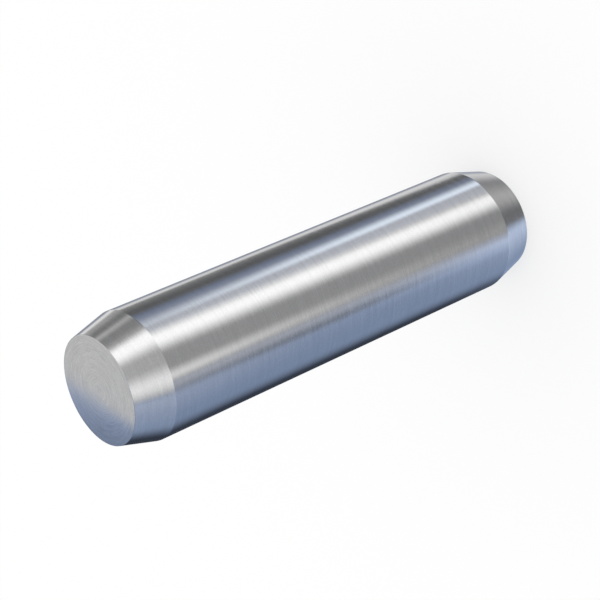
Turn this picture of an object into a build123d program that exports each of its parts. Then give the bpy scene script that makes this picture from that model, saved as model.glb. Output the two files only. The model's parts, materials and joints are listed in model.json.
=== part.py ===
from build123d import *
from math import radians, tan
import os

# Cylindrical steel pin: a parallel round shank with a slim cone turned on each end.
# Sizes are in millimetres. The pin stands on its lower end face, its axis is Z,
# and the origin is the middle of that face.

# Driving dimensions
shank_diameter = 10.0
pin_length = 40.0
cone_length = 3.0
cone_angle = 15.0
rim_radius = 0.05
shoulder_radius = 0.4

# Sizes that follow from them
shank_radius = shank_diameter / 2
end_radius = shank_radius - cone_length * tan(radians(cone_angle))
lower_shoulder = cone_length
upper_shoulder = pin_length - cone_length

# Pin: half of its length section, turned once round the axis
with BuildPart() as pin:
    with BuildSketch(Plane.XZ):
        with BuildLine():
            Polyline(
                (0, 0),
                (end_radius, 0),
                (shank_radius, lower_shoulder),
                (shank_radius, upper_shoulder),
                (end_radius, pin_length),
                (0, pin_length),
                close=True,
            )
        make_face()

        # Broken rims, between the end faces and the cones
        fillet(vertices().group_by(Axis.X)[1], radius=rim_radius)

        # Soft shoulders, where the cones run into the shank
        fillet(vertices().group_by(Axis.X)[-1], radius=shoulder_radius)
    revolve(axis=Axis.Z)

pin.part.label = "pin"

os.makedirs("parts", exist_ok=True)
export_step(pin.part, "parts/pin.step")
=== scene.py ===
import json
import math
from typing import NamedTuple

import bpy
import numpy as np
from mathutils import Matrix, Vector


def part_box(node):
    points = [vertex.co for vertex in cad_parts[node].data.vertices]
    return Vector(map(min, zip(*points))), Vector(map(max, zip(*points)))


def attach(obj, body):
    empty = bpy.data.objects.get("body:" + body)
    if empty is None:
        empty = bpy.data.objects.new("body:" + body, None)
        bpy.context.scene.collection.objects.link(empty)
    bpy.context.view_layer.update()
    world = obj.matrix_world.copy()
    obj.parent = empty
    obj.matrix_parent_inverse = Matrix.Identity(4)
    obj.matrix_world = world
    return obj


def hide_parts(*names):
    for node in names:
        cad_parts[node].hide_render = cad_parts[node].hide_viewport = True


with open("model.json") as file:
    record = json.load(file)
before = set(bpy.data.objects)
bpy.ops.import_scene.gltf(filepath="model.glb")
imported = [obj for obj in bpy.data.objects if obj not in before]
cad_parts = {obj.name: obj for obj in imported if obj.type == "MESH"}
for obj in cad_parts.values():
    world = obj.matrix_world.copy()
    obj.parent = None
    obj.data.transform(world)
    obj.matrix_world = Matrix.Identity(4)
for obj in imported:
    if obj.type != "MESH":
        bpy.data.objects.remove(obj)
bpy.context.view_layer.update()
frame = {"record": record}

MM = 0.001

# Sizes of the pin. Its length comes from the frame, and its shank from the mount that measures it. The others
# repeat the CAD model's, with the angle in degrees.
shank = next(m for m in frame["record"]["mounts"] if m["name"] == "shank")
SHANK_RADIUS = shank["dims"]["r_mm"] * MM
PIN_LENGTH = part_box("pin")[1].z
CONE_LENGTH = 3.0 * MM
CONE_ANGLE = 15.0
RIM_RADIUS = 0.05 * MM
SHOULDER_RADIUS = 0.4 * MM

# Fineness of the turned surface
SIDES = 288
ARC_STEPS = 8
FACE_RINGS = 14
CONE_RINGS = 6
SHANK_RINGS = 40


# Surface

def half_section():
    """Half the length section of the pin, from the middle of the lower face to the middle of the upper one.

    Four corners turn the outward normal from straight down to straight up. Each corner is an arc about the
    point corner - radius * (cos m, sin m) / cos h, where m is the middle and h half of the angle that it
    turns by. The arc's points are that centre plus radius * (cos t, sin t), and (cos t, sin t) are their
    normals. Straight runs join the arcs, and keep one normal each. Returns the points as radius and height,
    their normals, and their distance along the section.
    """
    turns = np.radians([-90.0, -CONE_ANGLE, 0.0, CONE_ANGLE, 90.0])
    end_radius = SHANK_RADIUS - CONE_LENGTH * math.tan(math.radians(CONE_ANGLE))
    corners = np.array([
        [end_radius, 0.0],
        [SHANK_RADIUS, CONE_LENGTH],
        [SHANK_RADIUS, PIN_LENGTH - CONE_LENGTH],
        [end_radius, PIN_LENGTH],
    ])
    radii = (RIM_RADIUS, SHOULDER_RADIUS, SHOULDER_RADIUS, RIM_RADIUS)
    rings = (FACE_RINGS, CONE_RINGS, SHANK_RINGS, CONE_RINGS, FACE_RINGS)

    arcs = []
    for corner, radius, start, end in zip(corners, radii, turns[:-1], turns[1:]):
        t = np.linspace(start, end, ARC_STEPS + 1)
        middle = np.array([math.cos((start + end) / 2), math.sin((start + end) / 2)])
        centre = corner - radius * middle / math.cos((end - start) / 2)
        normals = np.stack([np.cos(t), np.sin(t)], 1)
        arcs.append((centre + radius * normals, normals))

    starts = [np.array([0.0, 0.0])] + [points[-1] for points, _ in arcs]
    ends = [points[0] for points, _ in arcs] + [np.array([0.0, PIN_LENGTH])]
    pieces = []
    for k, (start, end) in enumerate(zip(starts, ends)):
        share = np.linspace(0.0, 1.0, rings[k] + 1)[:, None]
        run = start + (end - start) * share
        if k > 0:
            run = run[1:]
        if k < len(arcs):
            run = run[:-1]
        normal = np.array([math.cos(turns[k]), math.sin(turns[k])])
        pieces.append((run, np.broadcast_to(normal, run.shape)))
        if k < len(arcs):
            pieces.append(arcs[k])

    points = np.concatenate([p for p, _ in pieces])
    normals = np.concatenate([n for _, n in pieces])
    steps = np.hypot(*np.diff(points, axis=0).T)
    path = np.concatenate([[0.0], np.cumsum(steps)])
    return points, normals, path


def turned_surface(name):
    """The half section carried once round the axis, as one closed mesh.

    The point of row i and side j is (r_i cos a_j, r_i sin a_j, z_i), with a_j = 2 pi j / SIDES. The two rows
    on the axis are one point each. The UV map has a_j / 2 pi across, and the way along the section in metres
    upwards, so that it follows the path of the tool that turned the pin.
    """
    points, normals, path = half_section()
    angle = np.arange(SIDES) * 2 * np.pi / SIDES
    cos, sin = np.cos(angle), np.sin(angle)

    def around(pairs):
        """Each pair of radius and height as x, y and z at every side."""
        flat = np.stack([np.outer(pairs[:, 0], cos), np.outer(pairs[:, 0], sin)], -1)
        height = np.broadcast_to(pairs[:, 1, None, None], flat.shape[:2] + (1,))
        return np.concatenate([flat, height], -1)

    places = around(points)
    directions = around(normals)
    vertices = np.concatenate([places[0, :1], places[1:-1].reshape(-1, 3), places[-1, :1]])
    vertex_normals = np.concatenate([[[0, 0, -1]], directions[1:-1].reshape(-1, 3), [[0, 0, 1]]])

    # Vertex 0 is the lower pole, then come the rings, with bands of quads between them, and the upper pole
    bands = len(points) - 3
    j = np.arange(SIDES)
    after = (j + 1) % SIDES
    low = 1 + np.arange(bands)[:, None] * SIDES
    high = low + SIDES
    quads = np.stack([low + j, low + after, high + after, high + j], -1).reshape(-1, 4)
    top_ring = 1 + bands * SIDES
    lower_fan = np.stack([np.zeros_like(j), 1 + after, 1 + j], -1)
    upper_fan = np.stack([np.full_like(j, len(vertices) - 1), top_ring + j, top_ring + after], -1)

    mesh = bpy.data.meshes.new(name)
    mesh.from_pydata(vertices, [], quads.tolist() + lower_fan.tolist() + upper_fan.tolist())

    # UV of every face corner, in the order of the faces
    u, u_after = j / SIDES, (j + 1) / SIDES
    u_middle = (u + u_after) / 2
    quad_u = np.broadcast_to(np.stack([u, u_after, u_after, u], -1), (bands, SIDES, 4))
    low_v = np.broadcast_to(path[1:-2, None], (bands, SIDES))
    high_v = np.broadcast_to(path[2:-1, None], (bands, SIDES))
    quad_v = np.stack([low_v, low_v, high_v, high_v], -1)
    lower_u = np.stack([u_middle, u_after, u], -1)
    lower_v = np.broadcast_to([path[0], path[1], path[1]], (SIDES, 3))
    upper_u = np.stack([u_middle, u, u_after], -1)
    upper_v = np.broadcast_to([path[-1], path[-2], path[-2]], (SIDES, 3))
    all_u = np.concatenate([quad_u.ravel(), lower_u.ravel(), upper_u.ravel()])
    all_v = np.concatenate([quad_v.ravel(), lower_v.ravel(), upper_v.ravel()])
    layer = mesh.uv_layers.new(name="tool_path")
    layer.data.foreach_set("uv", np.stack([all_u, all_v], -1).astype(np.float32).ravel())

    mesh.polygons.foreach_set("use_smooth", np.ones(len(mesh.polygons), bool))
    mesh.normals_split_custom_set_from_vertices(vertex_normals)
    piece = bpy.data.objects.new(name, mesh)
    bpy.context.scene.collection.objects.link(piece)
    return piece


# Colours and nodes

def linear(code):
    """An sRGB hex colour as linear red, green, blue and alpha."""
    channels = [int(code[i:i + 2], 16) / 255 for i in (1, 3, 5)]
    values = [c / 12.92 if c <= 0.04045 else ((c + 0.055) / 1.055) ** 2.4 for c in channels]
    return tuple(values) + (1.0,)


def node(tree, kind, inputs=None, **settings):
    """Adds a node, sets its settings, and gives each named or numbered input a value or a link."""
    made = tree.nodes.new(kind)
    for key, value in settings.items():
        setattr(made, key, value)
    for key, value in (inputs or {}).items():
        if isinstance(value, bpy.types.NodeSocket):
            tree.links.new(value, made.inputs[key])
        else:
            made.inputs[key].default_value = value
    return made


# Materials

# Marks on the steel: how wide each is across, and how long it runs round the pin
PASSES = (0.3 * MM, 12.0 * MM)
SCRATCHES = (0.12 * MM, 1.2 * MM)
FLECKS = (0.08 * MM, 0.15 * MM)

# Share of scratches among the longer marks, where the steel is ground and where it is faced, and of flecks
GROUND_SCRATCHES, FACED_SCRATCHES = 0.52, 0.8
FLECKED = 0.4

# How much clearer the marks are on a level face than on the upright shank
FACE_CONTRAST = 2.25

# The noise that draws the marks: its detail, and its middle grey with the two that it mostly keeps between
NOISE_DETAIL = 1.0
NOISE_LOW, NOISE_MIDDLE, NOISE_HIGH = 0.35, 0.5, 0.65

# Colours of the steel, at the darkest and the brightest that the noise could reach
DARK_STEEL, BRIGHT_STEEL = "#B5B5B5", "#D5D5D5"

# Roughness of the ground surface, which changes with the marks, and of the faced ends, which is even
GROUND_FINE, GROUND_COARSE, FACED = 0.12, 0.16, 0.04

# Height of the marks, and how much of it there is where the steel is ground and where it is faced
MARK_DEPTH = 0.002 * MM
GROUND_DEPTH, FACED_DEPTH = 1.0, 0.03

# How much the highlights are drawn out, and the turn that draws them out across the marks
DRAWN_OUT = 0.6
QUARTER_TURN = 0.25

# What faces up or down by more than this is an end face
END_FACING = 0.9


def turned_steel():
    """Bright steel, ground round the shank and cones and faced across the ends.

    To the eye it is a mirror drawn out across its grinding marks, and nearly a plain mirror on the end faces.
    The marks are noise on (x, y, way along the section), stretched round the pin: the passes of the grinding
    wheel, short scratches, and flecks. Real scratches are about 0.01 mm wide, and here they are drawn 0.12 mm
    wide, so that they show. They change the brightness everywhere and the polish of the ground surface, and
    they tip the surface by a fraction of a degree. They are clearer on the cones than on the shank, and
    clearest on the end faces, where they are rings.
    """
    material = bpy.data.materials.new("ground_steel")
    material.use_nodes = True
    tree = material.node_tree
    tree.nodes.clear()
    out = node(tree, "ShaderNodeOutputMaterial")

    coordinates = node(tree, "ShaderNodeTexCoord").outputs
    place = node(tree, "ShaderNodeSeparateXYZ", {0: coordinates["Object"]}).outputs
    tool_path = node(tree, "ShaderNodeUVMap", uv_map="tool_path").outputs[0]
    way = node(tree, "ShaderNodeSeparateXYZ", {0: tool_path}).outputs[1]
    point = node(tree, "ShaderNodeCombineXYZ", {0: place[0], 1: place[1], 2: way}).outputs[0]

    def marks_of(width, length):
        """Noise with a mark each width along the section, each of that length round the pin."""
        stretch = {"Vector": point, "Scale": (1 / length, 1 / length, 1 / width)}
        stretched = node(tree, "ShaderNodeMapping", stretch).outputs[0]
        grain = {"Vector": stretched, "Scale": 1.0, "Detail": NOISE_DETAIL}
        return node(tree, "ShaderNodeTexNoise", grain).outputs[0]

    # How far the surface faces up or down: nothing on the shank, a quarter on the cones, and one on the ends
    upright = node(tree, "ShaderNodeSeparateXYZ", {0: coordinates["Normal"]}).outputs[2]
    facing = node(tree, "ShaderNodeMath", {0: upright}, operation="ABSOLUTE").outputs[0]
    on_end = node(tree, "ShaderNodeMath", {0: facing, 1: END_FACING}, operation="GREATER_THAN").outputs[0]

    # A mix of values goes from its input 2 to its input 3, and a mix of colours from 6 to 7
    passes, scratches, flecks = marks_of(*PASSES), marks_of(*SCRATCHES), marks_of(*FLECKS)
    scratched = node(tree, "ShaderNodeMix", {0: on_end, 2: GROUND_SCRATCHES, 3: FACED_SCRATCHES}).outputs[0]
    lines = node(tree, "ShaderNodeMix", {0: scratched, 2: passes, 3: scratches}).outputs[0]
    noise = node(tree, "ShaderNodeMix", {0: FLECKED, 2: lines, 3: flecks}).outputs[0]
    contrast = node(tree, "ShaderNodeMix", {0: facing, 2: 1.0, 3: FACE_CONTRAST}).outputs[0]
    clearer = {0: contrast, 2: NOISE_MIDDLE, 3: noise}
    marks = node(tree, "ShaderNodeMix", clearer, clamp_factor=False).outputs[0]

    polish = {
        "Value": marks,
        "From Min": NOISE_LOW,
        "From Max": NOISE_HIGH,
        "To Min": GROUND_FINE,
        "To Max": GROUND_COARSE,
    }
    ground = node(tree, "ShaderNodeMapRange", polish).outputs[0]
    roughness = node(tree, "ShaderNodeMix", {0: on_end, 2: ground, 3: FACED}).outputs[0]

    shades = {0: marks, 6: linear(DARK_STEEL), 7: linear(BRIGHT_STEEL)}
    colour = node(tree, "ShaderNodeMix", shades, data_type="RGBA").outputs[2]
    depth = node(tree, "ShaderNodeMix", {0: on_end, 2: GROUND_DEPTH, 3: FACED_DEPTH}).outputs[0]
    relief = {"Strength": depth, "Distance": MARK_DEPTH, "Height": marks}

    finish = {
        "Base Color": colour,
        "Metallic": 1.0,
        "Roughness": roughness,
        "Normal": node(tree, "ShaderNodeBump", relief).outputs[0],
        "Anisotropic": DRAWN_OUT,
        "Anisotropic Rotation": QUARTER_TURN,
        "Tangent": node(tree, "ShaderNodeTangent", direction_type="RADIAL", axis="Z").outputs[0],
    }
    steel = node(tree, "ShaderNodeBsdfPrincipled", finish)
    tree.links.new(steel.outputs[0], out.inputs[0])
    return material


# Share of plain white in what the camera sees of the floor
PLAIN_WHITE = 0.6


def pale_floor():
    """Matt white board. The camera sees much of it at plain white, so that the pin's shadow on it is pale."""
    material = bpy.data.materials.new("matt_white_board")
    material.use_nodes = True
    tree = material.node_tree
    tree.nodes.clear()
    out = node(tree, "ShaderNodeOutputMaterial")
    board = node(tree, "ShaderNodeBsdfDiffuse", {"Color": linear("#FFFFFF")}).outputs[0]
    white = node(tree, "ShaderNodeEmission", {"Color": linear("#FFFFFF"), "Strength": 1.0}).outputs[0]
    seen = node(tree, "ShaderNodeLightPath").outputs["Is Camera Ray"]
    share = node(tree, "ShaderNodeMath", {0: seen, 1: PLAIN_WHITE}, operation="MULTIPLY").outputs[0]
    both = node(tree, "ShaderNodeMixShader", {0: share, 1: board, 2: white}).outputs[0]
    tree.links.new(both, out.inputs[0])
    return material


# Studio

class Panel(NamedTuple):
    """Something that stands round the pin and is mirrored in it, with its colour in the steel.

    Left and right are azimuths, counted from +X towards +Y. Foot and top are elevations, and a panel without
    one goes all the way down or up. All are in degrees: the place of the edge, and how soft it is to either
    side. A panel that leans moves by so many degrees of azimuth for each degree of elevation, and stands
    where its edges say at the elevation that comes second.
    """
    name: str
    colour: str
    left: tuple
    right: tuple
    lean: tuple = (0.0, 0.0)
    foot: tuple = None
    top: tuple = None


# Each is painted over the ones before it. The camera stands at about azimuth -90.
PANELS = [
    # Behind the pin, and round to the left
    Panel("blue wall", "#72819B", left=(90, 2), right=(221, 14), top=(12, 8)),
    Panel("upper blue wall", "#7B8AA3", left=(151, 9), right=(187, 10), foot=(-22, 6), top=(12, 8)),
    Panel("high wall", "#8391AC", left=(91.2, 0.5), right=(224, 14), lean=(1.75, 29), foot=(12, 8)),
    Panel("high wall shade", "#6D798F", left=(91.7, 0.8), right=(224, 14), lean=(1.25, 29), foot=(12, 8)),
    Panel("pale wall", "#97A1B6", left=(192, 30), right=(219, 6), foot=(-32.5, 7), top=(12, 8)),
    Panel("wall foot", "#B4C1D8", left=(184, 56), right=(233, 20), lean=(0.4, -35), top=(-43.5, 5)),
    Panel("lit wall foot", "#C6D6F4", left=(211, 18), right=(231, 7), foot=(-50, 8), top=(-40.5, 3)),
    Panel("wall seam", "#54575C", left=(213, 6), right=(228.5, 9), foot=(-38.7, 2), top=(-33.5, 4.5)),
    Panel("dark corner", "#2C313B", left=(91, 3), right=(143, 20), lean=(0.2, -35), foot=(-42.3, 3),
          top=(1, 14)),

    # In front, on the left
    Panel("side glow", "#8D8D8D", left=(-126, 10), right=(-104, 12), foot=(-55, 12), top=(-18, 8)),
    Panel("cool side glow", "#999FAC", left=(-133.4, 10), right=(-125, 7), foot=(-55, 12), top=(-18, 8)),
    Panel("side light", "#DCDCDC", left=(-130, 14), right=(-102, 14), foot=(-22, 8), top=(45, 27)),
    Panel("side light foot", "#DCDCDC", left=(-121, 6), right=(-107.5, 8), foot=(-34, 6), top=(-18, 8)),

    # In front, on the right
    Panel("low glow", "#B7B7B7", left=(-59, 41), right=(3, 42), top=(-64, 18)),
    Panel("dark board", "#4C4D4E", left=(-21, 9), right=(44, 26), foot=(-44, 3), top=(-6, 39)),
    Panel("blue board edge", "#485A78", left=(-13.5, 9), right=(9.5, 8.5), foot=(-44, 3), top=(-22, 8)),
    Panel("lamp glow", "#A9ACB4", left=(-39, 5), right=(-4.5, 28), foot=(-46, 4), top=(-23, 7)),
    Panel("lamp", "#FCFCFC", left=(-66.7, 13.5), right=(-39.5, 9), lean=(0.5, -35), foot=(-53, 18),
          top=(-20, 6)),
    Panel("high lamp", "#FCFCFC", left=(-60.5, 13), right=(-32, 8.5), foot=(-20, 6), top=(4, 3)),
    Panel("spot", "#E2EDFB", left=(-19.5, 5), right=(-8, 9), lean=(-0.4, -36), foot=(-46, 4),
          top=(-33, 7)),
    Panel("glint", "#B2B2B2", left=(2, 7), right=(12, 6), foot=(-12, 5), top=(9, 4)),

    # Behind, on the right
    Panel("low strip gap", "#868B96", left=(58, 6), right=(91, 3), top=(-42, 5)),
    Panel("strip gap", "#747984", left=(58, 6), right=(91, 3), foot=(-43, 5), top=(4, 10)),
    Panel("strip shoulder", "#909090", left=(30, 8), right=(55, 6), foot=(-27, 4), top=(5, 8)),
    Panel("strip light", "#C2C2C3", left=(48, 3), right=(60.4, 6.5), lean=(0.15, -32), foot=(-52, 8),
          top=(-26, 3)),
    Panel("strip knee", "#C2C2C3", left=(43.8, 2.5), right=(56, 4), lean=(1.3, -37), foot=(-40.5, 2),
          top=(-34.5, 2.5)),
    Panel("strip head", "#CDCDCD", left=(46, 5), right=(59.5, 5.5), foot=(-26, 3), top=(5, 8)),
    Panel("strip foot", "#C5C5C6", left=(39, 1.2), right=(53, 4), lean=(2.9, -39.5), foot=(-46, 3),
          top=(-37.5, 1.5)),
    Panel("low strip", "#BEBEBF", left=(26, 13), right=(56.5, 7), foot=(-60, 14), top=(-45, 3)),
]

# The room between the panels: its colours and the elevations that it goes from and to, in degrees
FLOOR_SHADE, ROOM_SHADE = "#505154", "#BCBCBC"
FLOOR_ELEVATION, ROOM_ELEVATION = -90, 50

# The steel gives back this share of what it mirrors, so each panel is that much brighter than it looks in it
STEEL_GIVES_BACK = 0.56


def studio_world():
    """White all round for the floor, the camera and matt things, and the panels for what is mirrored."""
    world = bpy.data.worlds.new("studio")
    bpy.context.scene.world = world
    world.use_nodes = True

    # Matt things see even white, so no rays have to be aimed at the bright panels
    world.cycles.sampling_method = "NONE"
    tree = world.node_tree
    tree.nodes.clear()

    direction = node(tree, "ShaderNodeTexCoord").outputs["Generated"]
    x, y, z = node(tree, "ShaderNodeSeparateXYZ", {0: direction}).outputs
    azimuth = node(tree, "ShaderNodeMath", {0: y, 1: x}, operation="ARCTAN2").outputs[0]
    elevation = node(tree, "ShaderNodeMath", {0: z}, operation="ARCSINE").outputs[0]

    def across(angle, place, softness, before, beyond):
        """Goes from one value to the other where the angle crosses an edge."""
        edge = {
            "Value": angle,
            "From Min": math.radians(place - softness),
            "From Max": math.radians(place + softness),
            "To Min": before,
            "To Max": beyond,
        }
        return node(tree, "ShaderNodeMapRange", edge, interpolation_type="SMOOTHSTEP").outputs[0]

    room = {
        "Value": elevation,
        "From Min": math.radians(FLOOR_ELEVATION),
        "From Max": math.radians(ROOM_ELEVATION),
    }
    height = node(tree, "ShaderNodeMapRange", room).outputs[0]
    shades = {0: height, 6: linear(FLOOR_SHADE), 7: linear(ROOM_SHADE)}
    shade = node(tree, "ShaderNodeMix", shades, data_type="RGBA").outputs[2]

    for panel in PANELS:
        (left, left_softness), (right, right_softness) = panel.left, panel.right
        slope, about = panel.lean
        middle, half = (left + right) / 2, (right - left) / 2
        leaning = {0: elevation, 1: slope, 2: math.radians(middle - slope * about)}
        centre = node(tree, "ShaderNodeMath", leaning, operation="MULTIPLY_ADD").outputs[0]
        away = node(tree, "ShaderNodeMath", {0: azimuth, 1: centre}, operation="SUBTRACT").outputs[0]
        angle = node(tree, "ShaderNodeMath", {0: away, 1: math.pi, 2: -math.pi}, operation="WRAP").outputs[0]
        mask = across(angle, -half, left_softness, 0.0, 1.0)
        mask = across(angle, half, right_softness, mask, 0.0)
        if panel.foot:
            mask = across(elevation, *panel.foot, 0.0, mask)
        if panel.top:
            mask = across(elevation, *panel.top, mask, 0.0)
        over = {0: mask, 6: shade, 7: linear(panel.colour)}
        shade = node(tree, "ShaderNodeMix", over, data_type="RGBA", label=panel.name).outputs[2]

    mirrored = node(tree, "ShaderNodeLightPath").outputs["Is Glossy Ray"]
    seen = {0: mirrored, 6: linear("#FFFFFF"), 7: shade}
    colour = node(tree, "ShaderNodeMix", seen, data_type="RGBA").outputs[2]
    power = node(tree, "ShaderNodeMix", {0: mirrored, 2: 1.0, 3: 1 / STEEL_GIVES_BACK}).outputs[0]
    background = node(tree, "ShaderNodeBackground", {0: colour, 1: power})
    out = node(tree, "ShaderNodeOutputWorld")
    tree.links.new(background.outputs[0], out.inputs[0])


# Half the side of the floor, in metres
FLOOR_HALF = 1.0


def floor_board():
    """The board that the pin stands on.

    The steel doesn't mirror it. The shank mirrors what lies below its foot, and there the photograph shows
    the studio going on, as if the pin hung free, and no floor across it.
    """
    corners = np.array([[-1, -1, 0], [1, -1, 0], [1, 1, 0], [-1, 1, 0]]) * FLOOR_HALF
    mesh = bpy.data.meshes.new("floor")
    mesh.from_pydata(corners, [], [[0, 1, 2, 3]])
    board = bpy.data.objects.new("floor", mesh)
    bpy.context.scene.collection.objects.link(board)
    mesh.materials.append(pale_floor())
    board.visible_glossy = False


# Camera, at the photograph's viewing angle. Lens and sensor are in mm, and the three turns in degrees: down,
# from +Y towards +X, and about its own view, which lays the standing pin nearly on its side.
LENS, SENSOR_WIDTH = 111.8, 36.0
AIM = Vector((0.20, 0.43, 20.60)) * MM
DISTANCE = 142.8 * MM
LOOK_DOWN, TURN, ROLL = 35.47, 0.1, -113.54
NEAREST, FURTHEST = 10 * MM, 10.0


def camera():
    """Stands back from the point that it aims at, by the distance, and is rolled about the line between."""
    data = bpy.data.cameras.new("camera")
    data.sensor_width = SENSOR_WIDTH
    data.lens = LENS
    data.clip_start = NEAREST
    data.clip_end = FURTHEST
    made = bpy.data.objects.new("camera", data)
    bpy.context.scene.collection.objects.link(made)
    down, turn = math.radians(LOOK_DOWN), math.radians(TURN)
    forward = Vector((math.sin(turn) * math.cos(down), math.cos(turn) * math.cos(down), -math.sin(down)))
    level = forward.to_track_quat("-Z", "Y").to_matrix()
    rolled = level @ Matrix.Rotation(math.radians(ROLL), 3, "Z")
    made.matrix_world = Matrix.Translation(AIM - forward * DISTANCE) @ rolled.to_4x4()
    bpy.context.scene.camera = made


# The pin, and what stands round it

pin = turned_surface("turned_pin")
pin.data.materials.append(turned_steel())
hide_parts("pin")
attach(pin, "root")

studio_world()
floor_board()
camera()
bpy.context.scene.view_settings.view_transform = "Standard"
